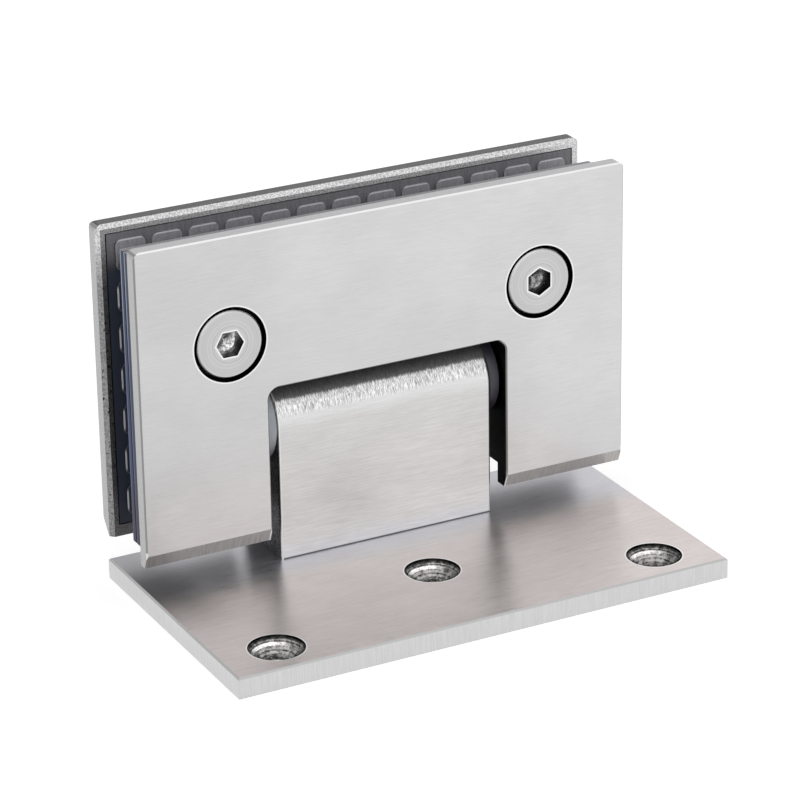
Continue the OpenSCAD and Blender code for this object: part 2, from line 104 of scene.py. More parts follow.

# Tints of the metal, one a painted reflection on the bevels, and linear colours of the rubber and the plastics,
# with painted reflection, highlight and shade on the layer ends and a lit and a shaded washer
NEUTRAL = (1.0, 1.0, 1.0)
FAINT_BLUE = (1.0, 1.0, 1.02)
BEVEL_PLATE_REFLECTION = (1.04, 1.0, 0.97)
WARM_PLATE = (1.09, 1.0, 0.975)
WARM_TO_COOL = (0.87, 0.94, 1.02)
RUBBER_NAVY = (0.030, 0.039, 0.064, 1.0)
PAD_OUTLINE_HIGHLIGHT, LAYER_END_SHADE = 0.85, 0.015
LAYER_DARK, LAYER_DARK_FOOT = (0.006, 0.012, 0.045, 1.0), (0.012, 0.012, 0.035, 1.0)
LAYER_HIGHLIGHT, LAYER_BLUE, LAYER_VIOLET = (0.32, 0.42, 0.62, 1.0), (0.07, 0.12, 0.32, 1.0), (0.05, 0.05, 0.13, 1.0)
WASHER_LIT, WASHER_SHADED = (0.40, 0.43, 0.46), (0.045, 0.045, 0.06)
BEARING_CREAM = (0.75, 0.73, 0.68)

# Studio: greys and strengths of floor and world, and the place of the softboxes
FLOOR_GREY, FLOOR_GLOW, FLOOR_HALF = 0.62, 0.55, 3.0
WORLD_LIGHT, WORLD_WHITE = 0.70, 1.0
LAMP_TARGET = Vector((0.0, -10 * MM, 30 * MM))
LAMP_DISTANCE, LAMP_SIZE = 1.2, 2.0

# Across the wall plate, from the countersinks towards the back left
FAR_SIDE = (-0.45, 0.89, 0.0)


# Node helpers


def feed(tree, socket, value):
    """Gives a socket a value, or links another node's output to it."""
    if isinstance(value, bpy.types.NodeSocket):
        tree.links.new(value, socket)
    else:
        socket.default_value = value


def put(tree, kind, settings=None, **inputs):
    """Adds a node with its settings, and feeds the inputs that are named."""
    node = tree.nodes.new("ShaderNode" + kind)
    for key, value in (settings or {}).items():
        setattr(node, key, value)
    for key, value in inputs.items():
        feed(tree, node.inputs[key.replace("_", " ")], value)
    return node


def calc(tree, operation, *values):
    """One step of arithmetic on numbers."""
    node = put(tree, "Math", {"operation": operation})
    for socket, value in zip(node.inputs, values):
        feed(tree, socket, value)
    return node.outputs[0]


def vector_calc(tree, operation, *values):
    """One step of arithmetic on vectors."""
    node = put(tree, "VectorMath", {"operation": operation})
    for socket, value in zip(node.inputs, values):
        feed(tree, socket, value)
    return node.outputs["Value" if operation in ("LENGTH", "DOT_PRODUCT") else "Vector"]


def times(tree, *factors):
    """Product of numbers."""
    product = factors[0]
    for factor in factors[1:]:
        product = calc(tree, "MULTIPLY", product, factor)
    return product


def inverse(tree, value):
    """1 minus a number."""
    return calc(tree, "SUBTRACT", 1.0, value)


def ramp(tree, value, low, high, out_low=0.0, out_high=1.0):
    """A smooth step of a value between two limits, which may run downwards."""
    node = put(
        tree, "MapRange", {"interpolation_type": "SMOOTHSTEP"},
        Value=value, From_Min=low, From_Max=high, To_Min=out_low, To_Max=out_high,
    )
    return node.outputs["Result"]


def band(tree, value, low, low_full, high_full, high):
    """1 between the two inner limits, and smoothly 0 beyond the outer ones."""
    return times(tree, ramp(tree, value, low, low_full), ramp(tree, value, high, high_full))


def mix(tree, kind, first_input, output, factor, first, second):
    """Blends two values of one kind. Each kind has its own sockets on the node."""
    node = put(tree, "Mix", {"data_type": kind})
    feed(tree, node.inputs[0], factor)
    feed(tree, node.inputs[first_input], first)
    feed(tree, node.inputs[first_input + 1], second)
    return node.outputs[output]


def mix_value(tree, factor, first, second):
    """Blends two numbers."""
    return mix(tree, "FLOAT", 2, 0, factor, first, second)


def mix_vector(tree, factor, first, second):
    """Blends two vectors."""
    return mix(tree, "VECTOR", 4, 1, factor, first, second)


def mix_colour(tree, factor, first, second):
    """Blends two colours."""
    return mix(tree, "RGBA", 6, 2, factor, first, second)


def grey(level, tint=NEUTRAL):
    """A fixed grey with a faint tint."""
    return (level * tint[0], level * tint[1], level * tint[2], 1.0)


def tinted(tree, tone, tint=NEUTRAL):
    """A grey of a worked-out tone, with a faint tint."""
    shades = [calc(tree, "MULTIPLY", tone, part) for part in tint]
    return put(tree, "CombineColor", Red=shades[0], Green=shades[1], Blue=shades[2]).outputs[0]


def toned(tree, colour, tone):
    """A colour made lighter or darker."""
    return vector_calc(tree, "MULTIPLY", colour, tinted(tree, tone))


def outline_distance(tree, away_x, away_z, corner):
    """Distance from a rectangle with round corners, given the distances beyond its corner centres."""
    outside = put(tree, "CombineXYZ", X=calc(tree, "MAXIMUM", away_x, 0.0), Y=calc(tree, "MAXIMUM", away_z, 0.0))
    inside = calc(tree, "MINIMUM", calc(tree, "MAXIMUM", away_x, away_z), 0.0)
    reach = calc(tree, "ADD", vector_calc(tree, "LENGTH", outside.outputs[0]), inside)
    return calc(tree, "SUBTRACT", reach, corner)


class Surface:
    """A new material with its places, its object-fixed normal and its one shader."""

    def __init__(self, name):
        self.material = bpy.data.materials.new(name)
        self.material.use_nodes = True
        self.tree = self.material.node_tree
        self.tree.nodes.clear()
        coords = put(self.tree, "TexCoord")
        self.place = coords.outputs["Object"]
        place_parts = put(self.tree, "SeparateXYZ", Vector=self.place)
        self.x, self.y, self.z = (place_parts.outputs[i] for i in range(3))
        normal_parts = put(self.tree, "SeparateXYZ", Vector=coords.outputs["Normal"])
        self.normal_x, self.normal_y, self.normal_z = (normal_parts.outputs[i] for i in range(3))
        self.world_normal = put(self.tree, "NewGeometry").outputs["Normal"]

    def facing(self, part):
        """1 where the object-fixed normal points mostly along one axis, else 0."""
        return ramp(self.tree, part, 0.75, 0.90)

    def marks(self, size, seed, detail=2.0, rough=0.6):
        """Noise whose marks have a given size in metres along X, Y and Z."""
        mapping = put(
            self.tree, "Mapping",
            Vector=self.place, Location=(seed, seed * 0.7, seed * 1.3),
            Scale=tuple(1.0 / length for length in size),
        )
        noise = put(
            self.tree, "TexNoise",
            Vector=mapping.outputs[0], Scale=1.0, Detail=detail, Roughness=rough,
        )
        return noise.outputs[0]

    def bump(self, height, strength, distance):
        """Normal of a fine relief."""
        bump = put(self.tree, "Bump", Height=height, Strength=strength, Distance=distance)
        return bump.outputs[0]

    def across_lines(self):
        """Direction on the surface that runs across brush lines along X."""
        across = vector_calc(self.tree, "CROSS_PRODUCT", self.world_normal, (1.0, 0.0, 0.0))
        return vector_calc(self.tree, "ADD", across, (0.0, 0.001, 0.001))

    def finish(self, **inputs):
        """The material, once its shader has these inputs."""
        shader = put(self.tree, "BsdfPrincipled", **inputs)
        output = put(self.tree, "OutputMaterial")
        self.tree.links.new(shader.outputs[0], output.inputs[0])
        return self.material


# Materials


def brushed_layer(surface, level, tint, contrast, seed):
    """Colour, roughness and height of steel brushed along X."""
    tree = surface.tree
    fine = surface.marks((3.2 * MM, 0.17 * MM, 0.17 * MM), seed, detail=4.0, rough=0.7)
    long = surface.marks((12 * MM, 0.3 * MM, 0.3 * MM), seed + 3.1)
    cloud = surface.marks((16 * MM, 11 * MM, 11 * MM), seed + 7.7)
    lines = calc(tree, "ADD", times(tree, fine, 0.75), times(tree, long, 0.25))
    lines = ramp(tree, lines, 0.32, 0.68)
    tone = calc(tree, "MULTIPLY_ADD", lines, contrast, 1.0 - contrast / 2)
    tone = times(tree, tone, ramp(tree, cloud, 0.3, 0.7, 0.97, 1.03), level)
    rough = calc(tree, "MULTIPLY_ADD", lines, 0.10, 0.27)
    return tinted(tree, tone, tint), rough, lines


def grained(surface, seed, low, high):
    """Even fine grain of a blasted or cut face, between two greys."""
    grain = surface.marks((0.3 * MM, 0.3 * MM, 0.3 * MM), seed, detail=3.0, rough=0.75)
    return ramp(surface.tree, grain, 0.34, 0.66, low, high)


def clamp_steel():
    """Clamp plates: brushed faces with painted reflections, edges with painted highlights and painted shade,
    blasted insides with painted shade, and notch walls painted black as shade.
    """
    surface = Surface("clamp_steel")
    tree = surface.tree
    from_middle = calc(tree, "ABSOLUTE", surface.x)
    sideways = calc(tree, "ABSOLUTE", surface.normal_x)
    back_plate = calc(tree, "GREATER_THAN", surface.y, 0.0)
    colour, rough, lines = brushed_layer(surface, CLAMP_LEVEL, (1.0, 1.0, 1.005), contrast=0.10, seed=1.0)

    # Faces: painted reflection, lighter towards the foot and a little darker at the left
    painted_light_tone = ramp(tree, surface.z, clamp_low.z + 19 * MM, clamp_low.z + 4 * MM, 0.0, 0.17)
    painted_light_tone = times(tree, painted_light_tone, ramp(tree, surface.x, 40 * MM, 26 * MM))
    painted_light_tone = calc(tree, "ADD", painted_light_tone, ramp(tree, surface.x, -35 * MM, -12 * MM, 0.955, 1.0))
    colour = toned(tree, colour, painted_light_tone)

    # Top faces: the front one is ground, the back one is dark grain with painted shade
    upward = surface.facing(surface.normal_z)
    ground = mix_value(tree, back_plate, grained(surface, 5.0, 0.43, 0.50), grained(surface, 6.0, 0.05, 0.11))
    colour = mix_colour(tree, upward, colour, tinted(tree, ground, FAINT_BLUE))

    # Lower bevels, cut across, darker and warmer as a painted reflection of the wall plate below
    low_part = calc(tree, "LESS_THAN", surface.z, BEVEL_TOP)
    bevel = times(tree, band(tree, surface.normal_z, -0.8, -0.7, -0.3, -0.2), low_part)
    cut = surface.marks((0.2 * MM, 4 * MM, 4 * MM), 9.0, detail=3.0)
    colour = mix_colour(tree, bevel, colour, tinted(tree, ramp(tree, cut, 0.3, 0.7, 0.33, 0.46), BEVEL_PLATE_REFLECTION))

    # Ground ends, darker than the faces
    far_out = calc(tree, "GREATER_THAN", from_middle, clamp_high.x - 1 * MM)
    end = times(tree, surface.facing(sideways), far_out)
    end_tone = mix_value(tree, back_plate, grained(surface, 3.0, 0.36, 0.44), grained(surface, 4.0, 0.33, 0.46))
    colour = mix_colour(tree, end, colour, tinted(tree, end_tone, (1.0, 1.0, 1.01)))

    # Broken edges: painted highlight along the top and painted shade where they stand upright
    widest = calc(tree, "MAXIMUM", sideways, calc(tree, "ABSOLUTE", surface.normal_y))
    widest = calc(tree, "MAXIMUM", widest, calc(tree, "ABSOLUTE", surface.normal_z))
    edge = times(tree, ramp(tree, widest, 0.88, 0.8), inverse(tree, low_part))
    edge_highlight_and_shade = mix_value(tree, ramp(tree, sideways, 0.4, 0.6), CLAMP_EDGE_HIGHLIGHT, UPRIGHT_EDGE_SHADE)
    colour = mix_colour(tree, edge, colour, tinted(tree, edge_highlight_and_shade))

    # Painted highlight: a bright line on the front round the notch and round each counterbore
    from_notch = outline_distance(
        tree,
        calc(tree, "SUBTRACT", from_middle, NOTCH_HALF - NOTCH_CORNER),
        calc(tree, "SUBTRACT", surface.z, NOTCH_TOP - NOTCH_CORNER),
        NOTCH_CORNER,
    )
    from_axis = put(
        tree, "CombineXYZ",
        X=calc(tree, "SUBTRACT", from_middle, screw_middle.x),
        Y=calc(tree, "SUBTRACT", surface.z, screw_middle.z),
    )
    from_bore = calc(tree, "SUBTRACT", vector_calc(tree, "LENGTH", from_axis.outputs[0]), COUNTERBORE_R)
    nearest = calc(tree, "MINIMUM", from_notch, from_bore)
    outline = band(tree, nearest, 0.0, 0.05 * MM, 0.22 * MM, 0.36 * MM)
    outline = times(tree, outline, ramp(tree, surface.normal_y, -0.6, -0.8))
    colour = mix_colour(tree, outline, colour, grey(EDGE_LINE_HIGHLIGHT))

    # Blasted insides, with painted shade darker towards the foot of the clamp
    inside = ramp(tree, times(tree, surface.normal_y, calc(tree, "SIGN", surface.y)), -0.4, -0.6)
    recess_shade = ramp(tree, surface.z, clamp_high.z - 12 * MM, clamp_high.z - 2 * MM, 0.42, 1.0)
    blasted = times(tree, grained(surface, 8.0, 0.36, 0.78), recess_shade)
    colour = mix_colour(tree, inside, colour, tinted(tree, blasted, (1.0, 0.99, 1.0)))
    rough = mix_value(tree, inside, rough, 0.5)

    # Small dark chips along the left rim of the back plate
    chips = ramp(tree, surface.marks((0.5 * MM, 0.5 * MM, 0.7 * MM), 71.0, rough=0.5), 0.66, 0.70)
    on_rim = calc(tree, "LESS_THAN", surface.x, clamp_low.x + 1.6 * MM)
    below_top = calc(tree, "LESS_THAN", surface.z, clamp_high.z - 10 * MM)
    colour = mix_colour(tree, times(tree, chips, inside, back_plate, on_rim, below_top), colour, grey(CHIP_LEVEL))

    # Painted shade: black walls of the notch, the pin bosses and the counterbores
    near_notch = calc(tree, "LESS_THAN", from_middle, pin_high.x + 1 * MM)
    below_screws = calc(tree, "LESS_THAN", surface.z, pin_middle.z + 10 * MM)
    above_foot = calc(tree, "GREATER_THAN", surface.z, clamp_low.z + 1 * MM)
    downward = times(tree, ramp(tree, surface.normal_z, -0.5, -0.85), above_foot)
    wall = calc(tree, "MAXIMUM", ramp(tree, sideways, 0.5, 0.85), downward)
    wall = times(tree, wall, near_notch, below_screws, inverse(tree, bevel))
    ring = calc(tree, "LESS_THAN", from_bore, 0.05 * MM)
    ring = times(tree, ring, calc(tree, "LESS_THAN", surface.y, clamp_low.y + COUNTERBORE_DEPTH))
    notch_shade = calc(tree, "MAXIMUM", wall, ring)
    notch_shade_tone = mix_value(tree, downward, NOTCH_WALL_SHADE, NOTCH_TOP_SHADE)
    colour = mix_colour(tree, notch_shade, colour, tinted(tree, notch_shade_tone))
    return surface.finish(
        Base_Color=colour, Metallic=1.0, Roughness=rough, Anisotropic=0.6,
        Tangent=surface.across_lines(), Normal=surface.bump(lines, 0.25, 0.01 * MM),
    )


def block_steel():
    """Pivot block: brushed flat faces with a painted reflection, a round top scratched across with a painted
    reflection of the notch, and ends with painted shade.
    """
    surface = Surface("block_steel")
    tree = surface.tree
    colour, rough, lines = brushed_layer(surface, BLOCK_LEVEL, NEUTRAL, contrast=0.17, seed=11.0)

    # Faces: painted reflection, lighter at the foot, and painted shade darker towards the round top
    painted_light_tone = ramp(tree, surface.z, block_low.z + 11 * MM, block_low.z + 1 * MM, 0.0, 0.12)
    painted_light_tone = calc(tree, "ADD", painted_light_tone, ramp(tree, surface.z, pin_middle.z - 11 * MM, pin_middle.z, 1.0, 0.94))
    colour = toned(tree, colour, painted_light_tone)

    # Round top, scratched across above a ragged line, with a dark crown that is a painted reflection of the notch
    # above
    scratch = surface.marks((0.085 * MM, 0.9 * MM, 0.9 * MM), 13.0, rough=0.7)
    scratch = ramp(tree, scratch, 0.40, 0.60)
    ragged = surface.marks((0.35 * MM, 3 * MM, 3 * MM), 17.0, detail=4.0, rough=0.8)
    line = calc(tree, "ADD", surface.z, times(tree, calc(tree, "SUBTRACT", ragged, 0.5), 1.2 * MM))
    crossed = ramp(tree, line, SCRATCHED_FROM, SCRATCHED_FULL)
    crossed_tone = calc(tree, "MULTIPLY_ADD", scratch, 0.56, 0.30)
    colour = mix_colour(tree, crossed, colour, tinted(tree, crossed_tone))
    notch_reflection = ramp(tree, line, NOTCH_REFLECTION_FROM, NOTCH_REFLECTION_FULL)
    notch_reflection_tone = calc(tree, "MULTIPLY_ADD", scratch, 0.07, 0.11)
    colour = mix_colour(tree, notch_reflection, colour, tinted(tree, notch_reflection_tone, FAINT_BLUE))

    # Dark seam where the block meets the wall plate
    seam = ramp(tree, surface.z, block_low.z + 0.28 * MM, block_low.z + 0.12 * MM)
    colour = mix_colour(tree, seam, colour, grey(SEAM_LEVEL))

    # Ends: mottled grain darkened by painted shade in the notch gap, with a painted highlight on the left edge and
    # painted shade on the right edge
    sideways = calc(tree, "ABSOLUTE", surface.normal_x)
    end = ramp(tree, sideways, 0.85, 0.95)
    colour = mix_colour(tree, end, colour, tinted(tree, grained(surface, 19.0, 0.015, 0.24), (1.0, 1.0, 1.04)))
    corner = band(tree, sideways, 0.3, 0.45, 0.75, 0.85)
    corner_highlight_and_shade = ramp(tree, surface.normal_x, -0.2, 0.2, BLOCK_LEFT_EDGE_HIGHLIGHT, BLOCK_RIGHT_EDGE_SHADE)
    colour = mix_colour(tree, corner, colour, tinted(tree, corner_highlight_and_shade))
    height = mix_value(tree, crossed, lines, scratch)
    metallic = calc(tree, "MULTIPLY_ADD", notch_reflection, -0.5, 1.0)
    rough = mix_value(tree, end, calc(tree, "ADD", rough, 0.06), 0.6)
    return surface.finish(
        Base_Color=colour, Metallic=metallic, Roughness=rough, Anisotropic=0.5,
        Tangent=surface.across_lines(), Normal=surface.bump(height, 0.4, 0.012 * MM),
    )


def plate_steel():
    """Wall plate: brushed top with a painted reflection in the far left corner, edges cut across, and turned
    countersinks darkened by painted shade and lit by painted highlights.
    """
    surface = Surface("plate_steel")
    tree = surface.tree

    # Top, warm in front, cooler at the back, and darker in the far left corner by a painted reflection
    warm, rough, lines = brushed_layer(surface, PLATE_LEVEL, WARM_PLATE, contrast=0.20, seed=21.0)
    cool = vector_calc(tree, "MULTIPLY", warm, WARM_TO_COOL)
    colour = mix_colour(tree, ramp(tree, surface.y, -17 * MM, -8 * MM), warm, cool)
    shade = times(tree, ramp(tree, surface.x, -34 * MM, -42 * MM), ramp(tree, surface.y, -28 * MM, -12 * MM))
    colour = toned(tree, colour, inverse(tree, times(tree, shade, 0.38)))

    # Sides, cut across, and their broken upper edge
    cut = surface.marks((0.16 * MM, 0.16 * MM, 5 * MM), 23.0, detail=3.0)
    upright = ramp(tree, calc(tree, "ABSOLUTE", surface.normal_z), 0.5, 0.2)
    colour = mix_colour(tree, upright, colour, tinted(tree, ramp(tree, cut, 0.3, 0.7, 0.55, 0.62)))
    edge = band(tree, surface.normal_z, 0.45, 0.6, 0.8, 0.95)
    colour = mix_colour(tree, edge, colour, grey(PLATE_EDGE_LEVEL))

    # The nearest fixing hole: one near each end, and one in the middle farther back
    at_left = calc(tree, "LESS_THAN", surface.x, -HOLE_X / 2)
    at_right = calc(tree, "GREATER_THAN", surface.x, HOLE_X / 2)
    hole = put(
        tree, "CombineXYZ",
        X=times(tree, calc(tree, "SUBTRACT", at_right, at_left), HOLE_X),
        Y=mix_value(tree, calc(tree, "ADD", at_left, at_right), HOLE_Y + HOLE_STAGGER, HOLE_Y),
    )
    flat = vector_calc(tree, "MULTIPLY", surface.place, (1.0, 1.0, 0.0))
    radial = vector_calc(tree, "SUBTRACT", flat, hole.outputs[0])
    radius = vector_calc(tree, "LENGTH", radial)

    # Countersinks: turned and mottled, darkened by painted shade and most at the outer wall, with a painted
    # highlight crescent on the far side and a painted highlight rim
    ring_place = put(tree, "CombineXYZ", X=radius, Y=surface.z)
    rings = put(tree, "TexNoise", Vector=ring_place.outputs[0], Scale=1 / (0.35 * MM), Detail=2.0)
    mottle = surface.marks((0.8 * MM, 0.8 * MM, 0.8 * MM), 27.0, detail=4.0, rough=0.8)
    rings = calc(tree, "ADD", times(tree, rings.outputs[0], 0.4), times(tree, mottle, 0.6))
    ring_tone = ramp(tree, rings, 0.40, 0.60, 0.02, 0.36)
    farther = calc(tree, "DIVIDE", vector_calc(tree, "DOT_PRODUCT", radial, FAR_SIDE), radius)
    soft = 0.1 * MM
    crescent_highlight = band(
        tree, radius,
        SINK_SHINE_IN - soft, SINK_SHINE_IN + soft, SINK_SHINE_OUT - soft, SINK_SHINE_OUT + soft,
    )
    crescent_highlight = times(tree, crescent_highlight, ramp(tree, farther, 0.0, 0.7))
    ring_tone = mix_value(tree, crescent_highlight, ring_tone, ramp(tree, rings, 0.38, 0.58, 0.30, 0.90))
    ring_tone = times(tree, ring_tone, ramp(tree, radius, SINK_R, SINK_R - 0.35 * MM, 0.15, 1.0))
    inside = times(
        tree,
        calc(tree, "LESS_THAN", radius, SINK_R + 0.05 * MM),
        calc(tree, "LESS_THAN", surface.z, plate_high.z - 0.02 * MM),
    )
    colour = mix_colour(tree, inside, colour, tinted(tree, ring_tone, (1.03, 1.0, 0.98)))
    rim = times(tree, ramp(tree, radius, SINK_R + 0.26 * MM, SINK_R + 0.12 * MM), inverse(tree, inside))
    colour = mix_colour(tree, rim, colour, grey(SINK_RIM_HIGHLIGHT))
    rough = mix_value(tree, inside, rough, 0.2)
    tangent = mix_vector(tree, inside, surface.across_lines(), vector_calc(tree, "ADD", radial, (0.0, 0.0, 1e-5)))
    return surface.finish(
        Base_Color=colour, Metallic=1.0, Roughness=rough, Anisotropic=0.7,
        Tangent=tangent, Normal=surface.bump(lines, 0.5, 0.012 * MM),
    )


def turned_steel(name, node, turn, foot_highlight_tone):
    """A screw head turned about its own axis. Its socket, darkened by painted shade, is turned by some degrees and
    has a chipped foot with a painted highlight.
    """
    low, high = (Vector(corner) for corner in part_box(node))
    middle = (low + high) / 2
    surface = Surface(name)
    tree = surface.tree
    centred = vector_calc(tree, "SUBTRACT", surface.place, (middle.x, 0.0, middle.z))
    flat = vector_calc(tree, "MULTIPLY", centred, (1.0, 0.0, 1.0))
    ring_place = put(tree, "CombineXYZ", X=vector_calc(tree, "LENGTH", flat))
    rings = put(tree, "TexNoise", Vector=ring_place.outputs[0], Scale=1 / (0.3 * MM), Detail=3.0)
    rings = ramp(tree, rings.outputs[0], 0.3, 0.7)
    tone = calc(tree, "MULTIPLY_ADD", rings, 0.14, 0.46)

    # Distance from the hexagon's outline, from the three directions across its flats
    across_flats = 0.0
    for k in range(3):
        angle = math.radians(turn + 60 * k)
        along = vector_calc(tree, "DOT_PRODUCT", flat, (math.cos(angle), 0.0, math.sin(angle)))
        across_flats = calc(tree, "MAXIMUM", across_flats, calc(tree, "ABSOLUTE", along))
    from_socket = calc(tree, "SUBTRACT", across_flats, SOCKET_FLATS / 2)

    # Socket: painted highlight on the rim, black walls of painted shade, and a mottled foot with a painted
    # highlight
    tone = mix_value(tree, ramp(tree, from_socket, 0.30 * MM, 0.18 * MM), tone, SOCKET_RIM_HIGHLIGHT)
    deep = ramp(tree, surface.y, low.y + 0.02 * MM, low.y + 0.15 * MM)
    wall = times(tree, calc(tree, "LESS_THAN", from_socket, 0.05 * MM), deep)
    tone = mix_value(tree, wall, tone, SOCKET_WALL_SHADE)
    foot = times(tree, wall, ramp(tree, calc(tree, "ABSOLUTE", surface.normal_y), 0.3, 0.6))
    chips = surface.marks((0.7 * MM, 0.7 * MM, 0.7 * MM), 61.0, detail=4.0, rough=0.8)
    tone = mix_value(tree, foot, tone, ramp(tree, chips, 0.4, 0.6, foot_highlight_tone * 0.25, foot_highlight_tone))
    around = vector_calc(tree, "CROSS_PRODUCT", flat, (0.0, 1.0, 0.0))
    radial = vector_calc(tree, "ADD", vector_calc(tree, "CROSS_PRODUCT", around, (0.0, 1.0, 0.0)), (0.0, 0.0, 1e-5))
    return surface.finish(
        Base_Color=tinted(tree, tone), Metallic=1.0, Roughness=0.3, Anisotropic=0.7,
        Tangent=radial, Normal=surface.bump(rings, 0.3, 0.01 * MM),
    )


def plain_steel(name, level, rough):
    """Ground or drawn steel of the inner pieces."""
    surface = Surface(name)
    tree = surface.tree
    grain = surface.marks((0.3 * MM, 0.3 * MM, 0.3 * MM), 31.0, detail=3.0)
    tone = ramp(tree, grain, 0.3, 0.7, level * 0.9, level * 1.1)
    return surface.finish(
        Base_Color=tinted(tree, tone), Metallic=1.0, Roughness=rough,
        Normal=surface.bump(grain, 0.2, 0.01 * MM),
    )


def gasket_rubber():
    """Moulded rubber: grey face darkened lower down by painted shade, pads with painted highlight outlines, and
    bluish layers of painted reflection where the stack ends.
    """
    surface = Surface("gasket_rubber")
    tree = surface.tree
    grain = surface.marks((0.25 * MM, 0.25 * MM, 0.25 * MM), 41.0, detail=3.0)
    streaks = surface.marks((0.5 * MM, 0.5 * MM, 4 * MM), 43.0, detail=3.0)
    # Painted shade: the rubber is darker lower down between the plates
    tone = times(
        tree,
        ramp(tree, grain, 0.3, 0.7, 0.22, 0.30), ramp(tree, streaks, 0.3, 0.7, 0.9, 1.1),
        ramp(tree, surface.z, clamp_high.z - 9 * MM, clamp_high.z - 3 * MM, 0.35, 1.0),
    )
    colour = tinted(tree, tone, (1.0, 0.98, 1.05))

    # Outline of the pads, worked out from their spacing
    column = calc(tree, "SNAP", calc(tree, "ADD", surface.x, PAD_STEP_X / 2), PAD_STEP_X)
    along = calc(tree, "SUBTRACT", surface.x, column)
    drop = calc(tree, "SUBTRACT", clamp_high.z - PAD_FIRST - PAD_SIZE / 2, surface.z)
    row = calc(tree, "SNAP", calc(tree, "ADD", drop, PAD_STEP_Z / 2), PAD_STEP_Z)
    up = calc(tree, "SUBTRACT", row, drop)
    straight = PAD_SIZE / 2 - PAD_CORNER
    padded = outline_distance(
        tree,
        calc(tree, "SUBTRACT", calc(tree, "ABSOLUTE", along), straight),
        calc(tree, "SUBTRACT", calc(tree, "ABSOLUTE", up), straight),
        PAD_CORNER,
    )
    beyond = calc(tree, "ABSOLUTE", calc(tree, "ADD", padded, 0.12 * MM))
    outline = ramp(tree, beyond, 0.22 * MM, 0.10 * MM)

    # Pads stand at every whole step from the floor of the recess, and are lighter than the rest
    side = calc(tree, "SIGN", calc(tree, "SUBTRACT", surface.y, SLOT_MIDDLE))
    from_floor = calc(tree, "SUBTRACT", -stack_foot, times(tree, surface.y, side))
    step = calc(tree, "FRACT", calc(tree, "ADD", calc(tree, "DIVIDE", from_floor, LAYER_STEP), 0.5))
    on_pad = calc(tree, "LESS_THAN", calc(tree, "ABSOLUTE", calc(tree, "SUBTRACT", step, 0.5)), 0.05)
    towards_glass = times(tree, surface.normal_y, side, -1.0)
    on_pad = times(tree, on_pad, ramp(tree, towards_glass, 0.5, 0.8))
    colour = toned(tree, colour, mix_value(tree, on_pad, 0.75, 1.25))

    # Below the top row at the left the rubber turns navy as a painted reflection, and pads get a painted highlight
    # along their left side
    low_end = times(
        tree,
        ramp(tree, surface.z, clamp_high.z - 6 * MM, clamp_high.z - 9 * MM),
        ramp(tree, surface.x, -38.5 * MM, -40.5 * MM),
    )
    colour = mix_colour(tree, times(tree, low_end, 0.85), colour, RUBBER_NAVY)
    from_left = times(
        tree, ramp(tree, along, -2.1 * MM, -2.4 * MM), low_end,
        ramp(tree, calc(tree, "ABSOLUTE", up), 2.1 * MM, 1.2 * MM),
    )

    # All others get a faint painted highlight, most along their top
    from_top = times(tree, ramp(tree, up, 2.2 * MM, 2.5 * MM), 0.7, inverse(tree, low_end))
    lit = calc(tree, "ADD", calc(tree, "MAXIMUM", from_top, from_left), 0.07)
    lit = times(tree, outline, lit, on_pad)
    colour = mix_colour(tree, lit, colour, grey(PAD_OUTLINE_HIGHLIGHT, (1.0, 1.0, 1.03)))

    # Left ends of the layers: painted shade, and on the stack a painted navy reflection with a painted highlight
    # line along each, violet at the foot
    leftward = times(
        tree, ramp(tree, surface.normal_x, -0.5, -0.8), calc(tree, "LESS_THAN", surface.x, -40 * MM)
    )
    colour = mix_colour(tree, leftward, colour, grey(LAYER_END_SHADE))
    leftward = times(tree, leftward, calc(tree, "LESS_THAN", surface.y, SLOT_MIDDLE))
    layer = calc(tree, "FRACT", calc(tree, "DIVIDE", calc(tree, "SUBTRACT", surface.y, stack_foot), LAYER_STEP))
    stripe_highlight = band(tree, layer, 0.48, 0.58, 0.68, 0.78)
    violet = ramp(tree, surface.z, clamp_low.z + 16 * MM, clamp_low.z + 8 * MM)
    fading = ramp(tree, surface.z, clamp_high.z - 8 * MM, clamp_high.z - 26 * MM)
    dark = mix_colour(tree, violet, LAYER_DARK, LAYER_DARK_FOOT)
    pale = mix_colour(tree, violet, mix_colour(tree, fading, LAYER_HIGHLIGHT, LAYER_BLUE), LAYER_VIOLET)
    colour = mix_colour(tree, leftward, colour, mix_colour(tree, stripe_highlight, dark, pale))
    return surface.finish(
        Base_Color=colour, Roughness=0.45, Specular_IOR_Level=0.3,
        Normal=surface.bump(grain, 0.2, 0.02 * MM),
    )


def plastic(name, colour, rough):
    """Smooth moulded plastic with a faint cloudiness."""
    surface = Surface(name)
    tree = surface.tree
    cloud = surface.marks((1.5 * MM, 1.5 * MM, 1.5 * MM), 51.0)
    mixed = mix_colour(tree, ramp(tree, cloud, 0.3, 0.7), grey(0.9, colour), grey(1.0, colour))
    return surface.finish(Base_Color=mixed, Roughness=rough)


# Pieces


def dress(material, *names):
    """Gives the CAD nodes their material."""
    for name in names:
        mesh = nodes[name].data
        mesh.materials.clear()
        mesh.materials.append(material)


def make_coil(side, material):
    """A copy of the detent spring on the wall side, in the place of the stiff solid."""
    node, joint = "detent_spring_" + side, "plunger_" + side + "_slide"
    mesh = nodes[node].data.copy()
    mesh.materials.clear()
    mesh.materials.append(material)
    coil = bpy.data.objects.new("coil_" + side, mesh)
    bpy.context.collection.objects.link(coil)
    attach(coil, "wall_side")
    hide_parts(node)
    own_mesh(coil)


